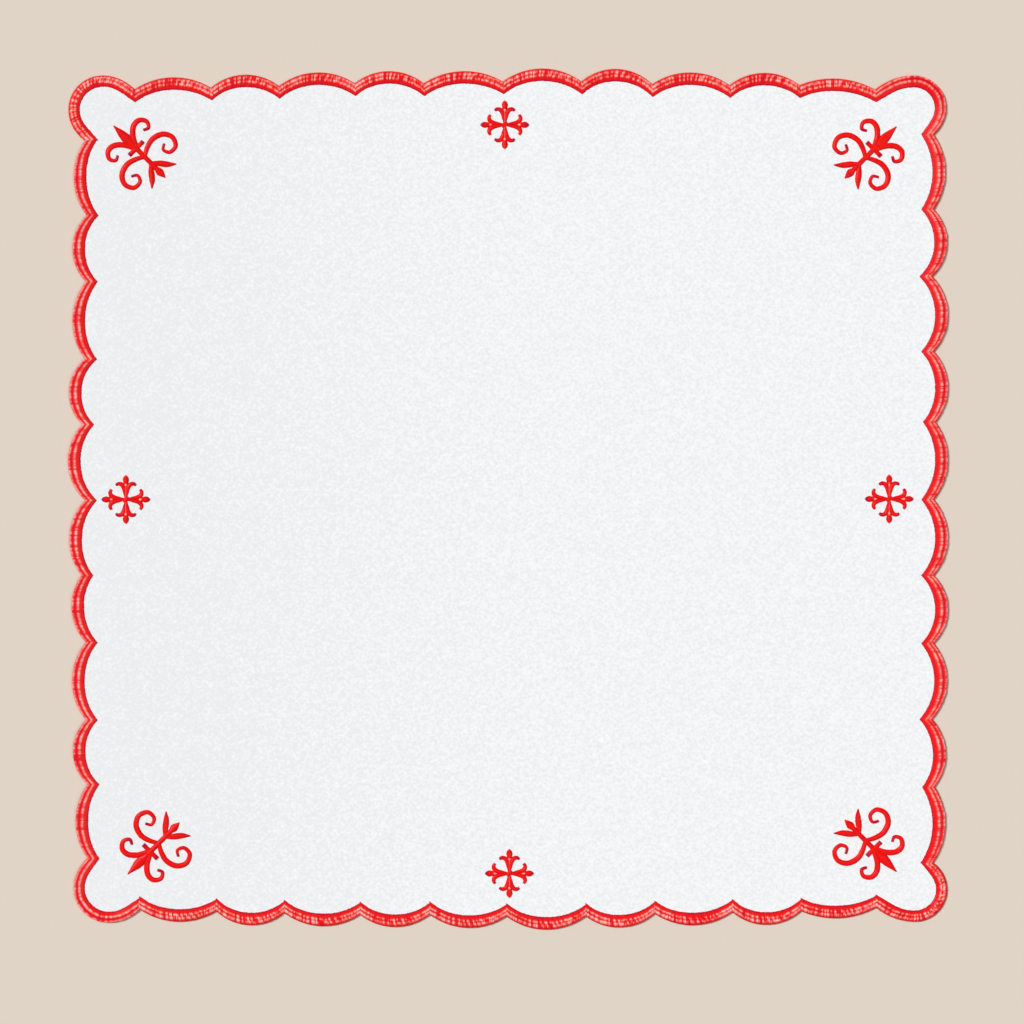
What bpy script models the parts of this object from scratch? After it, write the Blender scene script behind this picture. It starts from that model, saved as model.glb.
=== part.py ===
"""Altar napkin: a flat square of white cloth with a red satin-stitched scalloped edge,
a cross fleury at the middle of each side and a lily sprig in each corner.

Metres, +Z up. The napkin lies flat on its underside. The origin is on the underside,
in the middle of the outline's box. +Y is the far side and +X the right-hand one.
"""

import math
from collections import namedtuple

import bmesh
import bpy
from mathutils import Matrix, Vector

MM = 0.001

# Sizes in millimetres.
CLOTH_THICK = 1.0
CLEARANCE = 0.3
WALL = 1.3
CLOTH_CUT = 1.7
EDGE_DEPTH = 7.5
EDGE_TOP = 2.4
EDGE_GROOVE = 1.8
EDGE_INNER_TOP = 1.5
# The share of a corner lobe over which it and its stitches turn to meet the next side.
CORNER_BLEND = 0.3
STROKE_HEIGHT = 0.8
STROKE_CHAMFER = 0.3

# How finely round stretches are drawn.
LOBE_STEPS = 6
CORNER_STEPS = 14
SPRIG_STEPS = 2

Notch = namedtuple("Notch", "along out rise")
Corner = namedtuple("Corner", "x y radius")
Rim = namedtuple("Rim", "point inward")
Section = namedtuple("Section", "depth height")
Station = namedtuple("Station", "across along width")
Place = namedtuple("Place", "name x y turn")

# The notches between the lobes, anticlockwise seen from above, in millimetres: where each
# lies along its side, how far it is from the middle of the napkin, and how far the lobe
# after it bulges past the straight line to the next notch. After the last notch of a side
# comes the round lobe of a corner, which has a row of its own further down.
NEAR_SIDE = [
    Notch(along=-208.5, out=233.5, rise=6.5),
    Notch(along=-165.0, out=234.5, rise=7.5),
    Notch(along=-126.5, out=235.5, rise=7.0),
    Notch(along=-83.5, out=236.5, rise=7.0),
    Notch(along=-44.0, out=236.5, rise=7.0),
    Notch(along=-0.5, out=237.5, rise=7.5),
    Notch(along=44.5, out=237.5, rise=7.0),
    Notch(along=83.5, out=236.0, rise=7.0),
    Notch(along=127.5, out=235.0, rise=7.5),
    Notch(along=166.5, out=234.5, rise=5.0),
    Notch(along=209.0, out=232.5, rise=None),
]
RIGHT_SIDE = [
    Notch(along=-207.0, out=241.5, rise=6.5),
    Notch(along=-164.0, out=242.5, rise=7.0),
    Notch(along=-125.5, out=241.0, rise=8.0),
    Notch(along=-82.5, out=242.0, rise=8.0),
    Notch(along=-44.0, out=242.0, rise=8.0),
    Notch(along=-1.0, out=242.0, rise=7.5),
    Notch(along=43.0, out=243.0, rise=7.5),
    Notch(along=83.0, out=242.0, rise=8.5),
    Notch(along=125.5, out=241.0, rise=8.0),
    Notch(along=163.5, out=242.0, rise=6.5),
    Notch(along=206.0, out=242.0, rise=None),
]
FAR_SIDE = [
    Notch(along=-208.5, out=231.5, rise=5.0),
    Notch(along=-165.5, out=234.0, rise=7.0),
    Notch(along=-126.0, out=234.0, rise=7.0),
    Notch(along=-82.0, out=234.5, rise=8.0),
    Notch(along=-42.0, out=236.0, rise=7.5),
    Notch(along=2.5, out=236.0, rise=6.5),
    Notch(along=47.5, out=235.0, rise=7.0),
    Notch(along=86.5, out=235.0, rise=7.0),
    Notch(along=129.5, out=233.5, rise=7.0),
    Notch(along=168.0, out=232.5, rise=6.5),
    Notch(along=211.5, out=231.5, rise=None),
]
LEFT_SIDE = [
    Notch(along=-202.5, out=239.5, rise=7.0),
    Notch(along=-160.0, out=238.5, rise=8.0),
    Notch(along=-122.5, out=239.0, rise=7.5),
    Notch(along=-78.5, out=239.5, rise=8.5),
    Notch(along=-41.5, out=241.0, rise=9.0),
    Notch(along=1.5, out=239.5, rise=8.0),
    Notch(along=44.0, out=241.5, rise=7.0),
    Notch(along=82.0, out=239.0, rise=8.0),
    Notch(along=126.0, out=239.0, rise=8.0),
    Notch(along=162.5, out=238.0, rise=7.0),
    Notch(along=204.5, out=238.0, rise=None),
]
SIDES = [NEAR_SIDE, RIGHT_SIDE, FAR_SIDE, LEFT_SIDE]

# The round lobe that follows each side: its centre, and its radius away from the notches.
CORNERS = [
    Corner(x=231.0, y=-222.0, radius=18.5),
    Corner(x=230.5, y=221.0, radius=18.5),
    Corner(x=-229.5, y=220.0, radius=19.5),
    Corner(x=-226.5, y=-221.5, radius=19.5),
]

# The satin edge in section, from the underside of its outer wall, over two raised rows of
# stitches with a groove between them, and back under the band along the cloth.
EDGE_SECTION = [
    Section(depth=0.0, height=0.0),
    Section(depth=0.0, height=0.9),
    Section(depth=1.4, height=EDGE_TOP),
    Section(depth=2.8, height=EDGE_GROOVE),
    Section(depth=4.2, height=EDGE_TOP),
    Section(depth=EDGE_DEPTH, height=EDGE_INNER_TOP),
    Section(depth=EDGE_DEPTH, height=CLOTH_THICK + CLEARANCE),
    Section(depth=WALL, height=CLOTH_THICK + CLEARANCE),
    Section(depth=WALL, height=0.0),
]

# One arm of a cross fleury, pointing along +Y. The curl is made twice, once mirrored.
ARM_CURL = [
    Station(across=0.30, along=0.3, width=0.8),
    Station(across=0.50, along=2.2, width=1.1),
    Station(across=0.80, along=4.2, width=1.8),
    Station(across=1.10, along=6.0, width=2.2),
    Station(across=1.85, along=7.9, width=2.6),
    Station(across=3.10, along=8.8, width=2.3),
    Station(across=4.50, along=8.85, width=1.9),
    Station(across=5.45, along=8.2, width=1.5),
]
ARM_TIP = [
    Station(across=0.0, along=6.8, width=1.2),
    Station(across=0.0, along=8.4, width=2.4),
    Station(across=0.0, along=9.8, width=2.9),
    Station(across=0.0, along=11.4, width=3.5),
    Station(across=0.0, along=12.8, width=2.4),
    Station(across=0.0, along=13.5, width=0.8),
]
# The small knot that holds the four arms together.
CROSS_KNOT = [
    Station(across=-1.3, along=-1.3, width=0.8),
    Station(across=0.0, along=0.0, width=2.6),
    Station(across=1.3, along=1.3, width=0.8),
]

# A lily sprig, pointing along +Y. The strokes on its axis are made once.
SPRIG_AXIS = {
    "stem": [
        Station(across=0.0, along=-15.0, width=2.8),
        Station(across=0.0, along=8.0, width=2.8),
    ],
    "bud": [
        Station(across=0.0, along=5.5, width=2.4),
        Station(across=0.0, along=9.5, width=5.6),
        Station(across=0.0, along=13.5, width=4.8),
        Station(across=0.0, along=17.5, width=2.4),
        Station(across=0.0, along=20.5, width=0.6),
    ],
    "drop": [
        Station(across=0.0, along=-13.5, width=2.2),
        Station(across=0.0, along=-16.5, width=4.4),
        Station(across=0.0, along=-20.5, width=0.6),
    ],
    "collar": [
        Station(across=-5.4, along=2.6, width=2.6),
        Station(across=5.4, along=2.6, width=2.6),
    ],
}
# The others are made twice, once mirrored.
SPRIG_PAIRS = {
    "petal": [
        Station(across=0.9, along=3.0, width=2.2),
        Station(across=3.6, along=8.8, width=3.1),
        Station(across=7.8, along=12.6, width=3.2),
        Station(across=12.3, along=12.8, width=2.9),
        Station(across=15.0, along=9.3, width=2.4),
        Station(across=13.2, along=6.0, width=1.9),
        Station(across=10.4, along=7.0, width=1.5),
    ],
    "scroll": [
        Station(across=0.6, along=-3.8, width=2.2),
        Station(across=5.0, along=-1.4, width=2.8),
        Station(across=10.4, along=-0.2, width=3.1),
        Station(across=16.2, along=-2.2, width=3.1),
        Station(across=19.0, along=-7.2, width=2.8),
        Station(across=16.8, along=-12.2, width=2.5),
        Station(across=12.0, along=-12.4, width=2.1),
        Station(across=10.3, along=-8.8, width=1.7),
        Station(across=13.0, along=-6.8, width=1.4),
    ],
    "leaf": [
        Station(across=0.6, along=-9.5, width=1.6),
        Station(across=3.5, along=-13.0, width=3.4),
        Station(across=6.4, along=-16.6, width=3.1),
        Station(across=9.6, along=-19.6, width=0.6),
    ],
}

# Where the motifs lie, in millimetres, and how far each is turned, in degrees.
CROSSES = [
    Place("cross_far", -1.9, 212.2, 0),
    Place("cross_near", 0.7, -212.2, 0),
    Place("cross_left", -216.7, -0.2, 0),
    Place("cross_right", 216.0, 0.1, 0),
]
SPRIGS = [
    Place("sprig_far_left", -209.0, 197.0, 45),
    Place("sprig_far_right", 205.5, 196.5, -45),
    Place("sprig_near_right", 205.5, -196.5, -135),
    Place("sprig_near_left", -201.0, -198.0, 135),
]

WHITE_COTTON = (0.88, 0.90, 0.905, 1.0)
RED_RAYON = (0.72, 0.006, 0.010, 1.0)


def material(name, colour, roughness, metallic=0.0):
    made = bpy.data.materials.new(name)
    made.use_nodes = True
    made.diffuse_color = colour
    shader = made.node_tree.nodes["Principled BSDF"]
    shader.inputs["Base Color"].default_value = colour
    shader.inputs["Roughness"].default_value = roughness
    shader.inputs["Metallic"].default_value = metallic
    return made


def mesh_object(name, bm, finish):
    bmesh.ops.recalc_face_normals(bm, faces=bm.faces)
    mesh = bpy.data.meshes.new(name)
    bm.to_mesh(mesh)
    bm.free()
    mesh.materials.append(finish)
    made = bpy.data.objects.new(name, mesh)
    bpy.context.scene.collection.objects.link(made)
    return made


def lobe_rims(start, end, rise, normal):
    """The arc of one lobe on a side, whose stitches all lie square to that side."""
    along = (end - start).normalized()
    outward = Vector((along.y, -along.x))
    half = (end - start).length / 2
    radius = (half * half + rise * rise) / (2 * rise)
    turn = 4 * math.atan2(rise, half)
    centre = (start + end) / 2 + outward * (rise - radius)
    rims = []
    for k in range(LOBE_STEPS):
        angle = turn * (k / LOBE_STEPS - 0.5)
        radial = outward * math.cos(angle) + along * math.sin(angle)
        rims.append(Rim(centre + radial * radius, -normal))
    return rims


def corner_rims(start, end, corner, normal, next_normal):
    """The round lobe of one corner, stitched towards its own centre.

    Near its two notches its radius runs out to meet them, and its stitches turn to lie
    square to the side there.
    """
    centre = Vector((corner.x, corner.y))
    begin = math.atan2(start.y - centre.y, start.x - centre.x)
    turn = (math.atan2(end.y - centre.y, end.x - centre.x) - begin) % math.tau
    rims = []
    for k in range(CORNER_STEPS):
        t = k / CORNER_STEPS
        first = max(0.0, 1 - t / CORNER_BLEND) ** 2
        last = max(0.0, 1 - (1 - t) / CORNER_BLEND) ** 2
        rest = 1 - first - last
        radius = (start - centre).length * first + (end - centre).length * last + corner.radius * rest
        radial = Vector((math.cos(begin + turn * t), math.sin(begin + turn * t)))
        outward = normal * first + next_normal * last + radial * rest
        rims.append(Rim(centre + radial * radius, -outward.normalized()))
    return rims


def side_notches(number):
    """The notches of one side in the napkin's own frame, and the way out from that side."""
    rotation = Matrix.Rotation(math.radians(90 * number), 2)
    points = [rotation @ Vector((notch.along, -notch.out)) for notch in SIDES[number]]
    return points, rotation @ Vector((0.0, -1.0))


def scalloped_rims():
    """The whole outline, lobe after lobe, with its box centred on the origin."""
    rims = []
    for number, side in enumerate(SIDES):
        points, normal = side_notches(number)
        next_points, next_normal = side_notches((number + 1) % len(SIDES))
        for notch, start, end in zip(side, points, points[1:]):
            rims += lobe_rims(start, end, notch.rise, normal)
        rims += corner_rims(points[-1], next_points[0], CORNERS[number], normal, next_normal)
    xs = [rim.point.x for rim in rims]
    ys = [rim.point.y for rim in rims]
    middle = Vector((min(xs) + max(xs), min(ys) + max(ys))) / 2
    return [Rim(rim.point - middle, rim.inward) for rim in rims]


def rim_loop(bm, rims, depth, height):
    """A closed loop of points at one depth in from the outline and one height."""
    points = [rim.point + rim.inward * depth for rim in rims]
    return [bm.verts.new((point.x * MM, point.y * MM, height * MM)) for point in points]


def cloth_panel(rims, finish):
    """The flat cloth, cut a little inside the outer wall of the edge."""
    bm = bmesh.new()
    underside = bm.faces.new(rim_loop(bm, rims, CLOTH_CUT, 0.0))
    raised = bmesh.ops.extrude_face_region(bm, geom=[underside], use_keep_orig=True)
    top = [item for item in raised["geom"] if isinstance(item, bmesh.types.BMVert)]
    bmesh.ops.translate(bm, verts=top, vec=(0, 0, CLOTH_THICK * MM))
    return mesh_object("cloth_panel", bm, finish)


def scalloped_edge(rims, finish):
    """The satin edge: its section swept round the outline, one closed ring."""
    bm = bmesh.new()
    loops = [rim_loop(bm, rims, *section) for section in EDGE_SECTION]
    for number, loop in enumerate(loops):
        following = loops[(number + 1) % len(loops)]
        for k in range(len(loop)):
            n = (k + 1) % len(loop)
            bm.faces.new((loop[k], loop[n], following[n], following[k]))
    made = mesh_object("scalloped_edge", bm, finish)
    made.data.shade_smooth()
    made.data.set_sharp_from_angle(angle=math.radians(40))
    return made


def smoothed(stations, steps):
    """The stations with others between them on a smooth curve, steps to a span."""
    rows = [stations[0], *stations, stations[-1]]
    result = []
    for k in range(1, len(rows) - 2):
        before, here, there, after = rows[k - 1 : k + 3]
        for step in range(steps):
            t = step / steps
            blended = []
            for a, b, c, d in zip(before, here, there, after):
                slope, next_slope = (c - a) / 2, (d - b) / 2
                curve = 3 * (c - b) - 2 * slope - next_slope
                twist = 2 * (b - c) + slope + next_slope
                blended.append(b + slope * t + curve * t * t + twist * t**3)
            result.append(Station(*blended))
    return result + [stations[-1]]


def mirrored(stations):
    return [Station(-row.across, row.along, row.width) for row in stations]


def turned(stations, degrees):
    rotation = Matrix.Rotation(math.radians(degrees), 2)
    points = [rotation @ Vector((row.across, row.along)) for row in stations]
    return [Station(*point, row.width) for point, row in zip(points, stations)]


def stroke(name, stations, finish):
    """One satin stroke: a low ribbon with sloping sides that follows the stations."""
    bm = bmesh.new()
    points = [Vector((row.across, row.along)) for row in stations]
    ribs = []
    for k, row in enumerate(stations):
        way = (points[min(k + 1, len(points) - 1)] - points[max(k - 1, 0)]).normalized()
        side = Vector((way.y, -way.x))
        foot = row.width / 2
        crown = foot - min(STROKE_CHAMFER, foot / 2)
        rib = []
        for reach, height in ((-foot, 0.0), (foot, 0.0), (crown, STROKE_HEIGHT), (-crown, STROKE_HEIGHT)):
            corner = points[k] + side * reach
            rib.append(bm.verts.new((corner.x * MM, corner.y * MM, height * MM)))
        ribs.append(rib)
    for rib, following in zip(ribs, ribs[1:]):
        for k in range(4):
            n = (k + 1) % 4
            bm.faces.new((rib[k], rib[n], following[n], following[k]))
    bm.faces.new(ribs[0])
    bm.faces.new(reversed(ribs[-1]))
    return mesh_object(name, bm, finish)


def motif_mesh(name, strokes, finish):
    """The strokes of one motif joined into a single closed body."""
    first, *others = [stroke(f"{name}_{k}", rows, finish) for k, rows in enumerate(strokes)]
    group = bpy.data.collections.new(f"{name}_strokes")
    bpy.context.scene.collection.children.link(group)
    for other in others:
        bpy.context.scene.collection.objects.unlink(other)
        group.objects.link(other)
    join = first.modifiers.new("join", "BOOLEAN")
    join.operation = "UNION"
    join.operand_type = "COLLECTION"
    join.collection = group
    join.solver = "EXACT"
    joined = first.evaluated_get(bpy.context.evaluated_depsgraph_get())
    mesh = bpy.data.meshes.new_from_object(joined)
    mesh.name = name
    for piece in [first, *others]:
        bpy.data.objects.remove(piece)
    bpy.data.collections.remove(group)
    return mesh


def cross_strokes():
    arm = [ARM_CURL, mirrored(ARM_CURL), ARM_TIP]
    arms = [turned(rows, quarter) for quarter in (0, 90, 180, 270) for rows in arm]
    return [CROSS_KNOT, *arms]


def sprig_strokes():
    strokes = list(SPRIG_AXIS.values())
    for rows in SPRIG_PAIRS.values():
        fine = smoothed(rows, SPRIG_STEPS)
        strokes += [fine, mirrored(fine)]
    return strokes


def place_motif(mesh, place):
    """One copy of a motif, lying on the cloth with the clearance under it."""
    made = bpy.data.objects.new(place.name, mesh)
    made.location = (place.x * MM, place.y * MM, (CLOTH_THICK + CLEARANCE) * MM)
    made.rotation_euler.z = math.radians(place.turn)
    bpy.context.scene.collection.objects.link(made)


for existing in list(bpy.data.objects):
    bpy.data.objects.remove(existing)

cotton = material("white_cotton", WHITE_COTTON, 0.92)
thread = material("red_satin_thread", RED_RAYON, 0.42)

outline = scalloped_rims()
cloth_panel(outline, cotton)
scalloped_edge(outline, thread)

cross_mesh = motif_mesh("cross_fleury", cross_strokes(), thread)
for spot in CROSSES:
    place_motif(cross_mesh, spot)

sprig_mesh = motif_mesh("lily_sprig", sprig_strokes(), thread)
for spot in SPRIGS:
    place_motif(sprig_mesh, spot)
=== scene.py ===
"""The looks of an altar napkin: white cotton with a red satin-stitched scalloped edge,
a cross fleury at the middle of each side and a lily sprig in each corner.

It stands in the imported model's frame, in metres, +Z up. Sizes of cloth and thread are in
millimetres.
"""

import math
from collections import namedtuple

import bmesh
import bpy
import numpy as np
from mathutils import Matrix, Vector, noise


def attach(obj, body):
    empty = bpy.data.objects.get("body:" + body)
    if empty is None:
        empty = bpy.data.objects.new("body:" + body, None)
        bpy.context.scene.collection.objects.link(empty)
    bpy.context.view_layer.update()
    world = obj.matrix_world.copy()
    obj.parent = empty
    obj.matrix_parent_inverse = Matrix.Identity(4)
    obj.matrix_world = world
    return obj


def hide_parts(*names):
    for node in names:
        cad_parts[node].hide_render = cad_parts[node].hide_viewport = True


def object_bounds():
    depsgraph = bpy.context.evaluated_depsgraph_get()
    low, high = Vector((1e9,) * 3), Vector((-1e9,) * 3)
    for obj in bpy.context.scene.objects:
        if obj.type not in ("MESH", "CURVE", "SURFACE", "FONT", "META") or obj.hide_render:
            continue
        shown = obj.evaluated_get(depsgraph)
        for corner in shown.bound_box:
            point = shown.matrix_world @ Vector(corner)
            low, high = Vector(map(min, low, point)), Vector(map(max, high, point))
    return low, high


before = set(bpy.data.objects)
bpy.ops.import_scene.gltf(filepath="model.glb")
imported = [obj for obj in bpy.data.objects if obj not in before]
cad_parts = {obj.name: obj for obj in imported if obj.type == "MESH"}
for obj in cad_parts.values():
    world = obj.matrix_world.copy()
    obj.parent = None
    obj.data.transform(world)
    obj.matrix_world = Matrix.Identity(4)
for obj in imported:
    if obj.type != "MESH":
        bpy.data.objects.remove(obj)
cad_low, cad_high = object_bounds()
MM = 0.001

# The cloth: one flat piece of closely woven white cotton, cut along the scallops after they
# are stitched. It is held a thread's thickness above the table by the back of the stitches.
CLOTH_LOW = 0.35
CLOTH_TOP = 1.0
CLOTH_CUT = 1.7
CLOTH_GRID = 10.0
OUTLINE_PITCH = 2.0
# The soft waves that the cloth keeps after it has been laid out, away from its stitched rim.
WAVE_HEIGHT = 0.16
WAVE_LENGTH = 85.0
WAVE_START = 160.0
WAVE_FULL = 110.0
# The share of a corner lobe over which it and its stitches turn to meet the next side.
CORNER_BLEND = 0.3
# How much closer the stitches of a corner lobe are near its notches, as a share.
CORNER_CLOSER = 0.22

Notch = namedtuple("Notch", "along out rise")
Corner = namedtuple("Corner", "x y radius")
# A point of the outline, the way in from it, how far along its lobe it is, from 0 to 1, and
# how far it is into the bend of a corner lobe, from 0 to 1.
Rim = namedtuple("Rim", "point inward share bend")

# The notches between the lobes, anticlockwise seen from above: where each lies along its
# side, how far it is from the middle, and how far the lobe after it bulges past the line
# to the next notch. After the last notch of a side comes the round lobe of a corner.
NEAR_SIDE = [
    Notch(along=-208.5, out=233.5, rise=6.5),
    Notch(along=-165.0, out=234.5, rise=7.5),
    Notch(along=-126.5, out=235.5, rise=7.0),
    Notch(along=-83.5, out=236.5, rise=7.0),
    Notch(along=-44.0, out=236.5, rise=7.0),
    Notch(along=-0.5, out=237.5, rise=7.5),
    Notch(along=44.5, out=237.5, rise=7.0),
    Notch(along=83.5, out=236.0, rise=7.0),
    Notch(along=127.5, out=235.0, rise=7.5),
    Notch(along=166.5, out=234.5, rise=5.0),
    Notch(along=209.0, out=232.5, rise=None),
]
RIGHT_SIDE = [
    Notch(along=-207.0, out=241.5, rise=6.5),
    Notch(along=-164.0, out=242.5, rise=7.0),
    Notch(along=-125.5, out=241.0, rise=8.0),
    Notch(along=-82.5, out=242.0, rise=8.0),
    Notch(along=-44.0, out=242.0, rise=8.0),
    Notch(along=-1.0, out=242.0, rise=7.5),
    Notch(along=43.0, out=243.0, rise=7.5),
    Notch(along=83.0, out=242.0, rise=8.5),
    Notch(along=125.5, out=241.0, rise=8.0),
    Notch(along=163.5, out=242.0, rise=6.5),
    Notch(along=206.0, out=242.0, rise=None),
]
FAR_SIDE = [
    Notch(along=-208.5, out=231.5, rise=5.0),
    Notch(along=-165.5, out=234.0, rise=7.0),
    Notch(along=-126.0, out=234.0, rise=7.0),
    Notch(along=-82.0, out=234.5, rise=8.0),
    Notch(along=-42.0, out=236.0, rise=7.5),
    Notch(along=2.5, out=236.0, rise=6.5),
    Notch(along=47.5, out=235.0, rise=7.0),
    Notch(along=86.5, out=235.0, rise=7.0),
    Notch(along=129.5, out=233.5, rise=7.0),
    Notch(along=168.0, out=232.5, rise=6.5),
    Notch(along=211.5, out=231.5, rise=None),
]
LEFT_SIDE = [
    Notch(along=-202.5, out=239.5, rise=7.0),
    Notch(along=-160.0, out=238.5, rise=8.0),
    Notch(along=-122.5, out=239.0, rise=7.5),
    Notch(along=-78.5, out=239.5, rise=8.5),
    Notch(along=-41.5, out=241.0, rise=9.0),
    Notch(along=1.5, out=239.5, rise=8.0),
    Notch(along=44.0, out=241.5, rise=7.0),
    Notch(along=82.0, out=239.0, rise=8.0),
    Notch(along=126.0, out=239.0, rise=8.0),
    Notch(along=162.5, out=238.0, rise=7.0),
    Notch(along=204.5, out=238.0, rise=None),
]
SIDES = [NEAR_SIDE, RIGHT_SIDE, FAR_SIDE, LEFT_SIDE]
CORNERS = [
    Corner(x=231.0, y=-222.0, radius=18.5),
    Corner(x=230.5, y=221.0, radius=18.5),
    Corner(x=-229.5, y=220.0, radius=19.5),
    Corner(x=-226.5, y=-221.5, radius=19.5),
]

COTTON_LIGHT = (0.93, 0.945, 0.952, 1.0)
COTTON_DARK = (0.82, 0.842, 0.852, 1.0)
WEAVE_PITCH = 0.55
WEAVE_RELIEF = 0.10
# How softly one thread gives way to the other where they cross.
CROSSING_BLEND = 0.25
# Thicker threads, or slubs, run both ways through the weave.
SLUB_LENGTH = 9.0
SLUB_WIDTH = 1.5 * WEAVE_PITCH
# The shares that the crossings and the slubs have in the relief.
CROSSING_RISE = 0.7
SLUB_RISE = 0.5
# The grain of the cloth is mostly small spots of this size, and slubs for the rest.
GRAIN_SIZE = 1.5
SPOT_SHARE = 0.7
SLUB_SHARE = 0.15
# The weave also shows as faint diamonds, this long and wide, which drift out of line by up
# to this much over patches of this size.
DIAMOND_SIZE = 4.1
DIAMOND_DRIFT = 6.0
DIAMOND_PATCH = 8.0
# How light the cotton is, from its dark colour at 0 to its light one at 1: the middle, and
# what the grain, the diamonds and the crossings add to it. The crossings add painted shade,
# light on the tops of the threads and dark in the dips between them.
MIDDLE_LIGHT = 0.40
GRAIN_LIGHT = 2.6
DIAMOND_LIGHT = 0.13
CROSSING_LIGHT = 0.25
# Painted shade: how much darker the cloth is painted towards its left-hand rim. The shade
# begins right of the middle, this share of half the width beyond it.
SIDE_SHADE = 0.45
SIDE_START = 0.2
# The sheet is shaded smooth over bends below this angle, in degrees, and sharp at its rim.
SMOOTH_ANGLE = 40


def side_lobe(start, end, rise, normal, pitch):
    """The arc of one lobe on a side, whose stitches all lie square to that side."""
    along = (end - start).normalized()
    outward = Vector((along.y, -along.x))
    half = (end - start).length / 2
    radius = (half * half + rise * rise) / (2 * rise)
    turn = 4 * math.atan2(rise, half)
    centre = (start + end) / 2 + outward * (rise - radius)
    steps = round(radius * turn / pitch)
    rims = []
    for k in range(steps):
        angle = turn * (k / steps - 0.5)
        radial = outward * math.cos(angle) + along * math.sin(angle)
        rims.append(Rim(centre + radial * radius, -normal, k / steps, 0.0))
    return rims


def corner_lobe(start, end, corner, normal, next_normal, pitch):
    """The round lobe of one corner, stitched towards its own centre.

    Near its two notches its radius runs out to meet them, and its stitches turn to lie
    square to the side there.
    """
    centre = Vector((corner.x, corner.y))
    begin = math.atan2(start.y - centre.y, start.x - centre.x)
    turn = (math.atan2(end.y - centre.y, end.x - centre.x) - begin) % math.tau
    steps = round(corner.radius * turn / pitch * (1 + CORNER_CLOSER))
    rims = []
    for k in range(steps):
        t = k / steps
        t -= CORNER_CLOSER * math.sin(math.tau * t) / math.tau
        first = max(0.0, 1 - t / CORNER_BLEND) ** 2
        last = max(0.0, 1 - (1 - t) / CORNER_BLEND) ** 2
        rest = 1 - first - last
        radius = (start - centre).length * first + (end - centre).length * last + corner.radius * rest
        radial = Vector((math.cos(begin + turn * t), math.sin(begin + turn * t)))
        outward = normal * first + next_normal * last + radial * rest
        rims.append(Rim(centre + radial * radius, -outward.normalized(), t, rest))
    return rims


def side_notches(number):
    """The notches of one side in the napkin's own frame, and the way out from that side."""
    rotation = Matrix.Rotation(math.radians(90 * number), 2)
    points = [rotation @ Vector((notch.along, -notch.out)) for notch in SIDES[number]]
    return points, rotation @ Vector((0.0, -1.0))


def scalloped_sides(pitch):
    """The outline's rims, side by side, each side with the corner lobe after it."""
    sides = []
    for number, side in enumerate(SIDES):
        points, normal = side_notches(number)
        next_points, next_normal = side_notches((number + 1) % len(SIDES))
        rims = []
        for notch, start, end in zip(side, points, points[1:]):
            rims += side_lobe(start, end, notch.rise, normal, pitch)
        rims += corner_lobe(points[-1], next_points[0], CORNERS[number], normal, next_normal, pitch)
        sides.append(rims)
    xs = [rim.point.x for rims in sides for rim in rims]
    ys = [rim.point.y for rims in sides for rim in rims]
    middle = Vector((min(xs) + max(xs), min(ys) + max(ys))) / 2
    return [[rim._replace(point=rim.point - middle) for rim in rims] for rims in sides]


class Finish:
    """A new material. Its add method makes any node and gives the node's output as a wire."""

    def __init__(self, name, constants):
        self.material = bpy.data.materials.new(name)
        self.material.use_nodes = True
        self.tree = self.material.node_tree
        self.shader = self.tree.nodes["Principled BSDF"]
        for socket, value in constants.items():
            self.shader.inputs[socket].default_value = value

    def add(self, kind, settings=None, inputs=None, output=0):
        node = self.tree.nodes.new(kind)
        for setting, value in (settings or {}).items():
            setattr(node, setting, value)
        for socket, value in (inputs or {}).items():
            self.feed(node.inputs[socket], value)
        return Wire(self, node.outputs[output])

    def feed(self, socket, value):
        if isinstance(value, Wire):
            self.tree.links.new(value.socket, socket)
        else:
            socket.default_value = value

    def paint(self, name, value):
        """Leads a value to one of the shader's own sockets."""
        self.feed(self.shader.inputs[name], value)

    def blend(self, share, first, second):
        """The first colour where share is 0 and the second where it is 1."""
        return self.add("ShaderNodeMix", {"data_type": "RGBA"}, {0: share, 6: first, 7: second}, output=2)

    def speckle(self, place, size, detail=2.0):
        """Cloudy noise from 0 to 1, with spots of about that size in millimetres."""
        sockets = {"Vector": place, "Scale": 1 / (size * MM), "Detail": detail}
        return self.add("ShaderNodeTexNoise", None, sockets)

    def stretched(self, place, along_x, along_y):
        """The place, measured in steps of these two lengths in millimetres."""
        sockets = {"Vector": place, "Scale": (1 / along_x, 1 / along_y, 1.0)}
        return self.add("ShaderNodeMapping", {"vector_type": "POINT"}, sockets)

    def relief(self, height, depth):
        """Bump of that height in millimetres, on the shader's normal."""
        sockets = {"Height": height, "Distance": depth * MM}
        self.paint("Normal", self.add("ShaderNodeBump", None, sockets))


class Wire:
    """The output of a shader node. Sums and products of wires add Math nodes."""

    def __init__(self, finish, socket):
        self.finish = finish
        self.socket = socket

    def math(self, operation, other=0.0):
        return self.finish.add("ShaderNodeMath", {"operation": operation}, {0: self, 1: other})

    def sibling(self, output):
        """Another output of the same node."""
        return Wire(self.finish, self.socket.node.outputs[output])

    def within(self, low, high):
        """0 where the value is low, 1 where it is high, and smooth between."""
        sockets = {"Value": self, "From Min": low, "From Max": high}
        return self.finish.add("ShaderNodeMapRange", {"interpolation_type": "SMOOTHSTEP"}, sockets)

    def __add__(self, other):
        return self.math("ADD", other)

    def __mul__(self, other):
        return self.math("MULTIPLY", other)

    def __sub__(self, other):
        return self.math("SUBTRACT", other)

    def __rsub__(self, other):
        return self * -1 + other

    def __pow__(self, power):
        return self.math("POWER", power)


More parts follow.
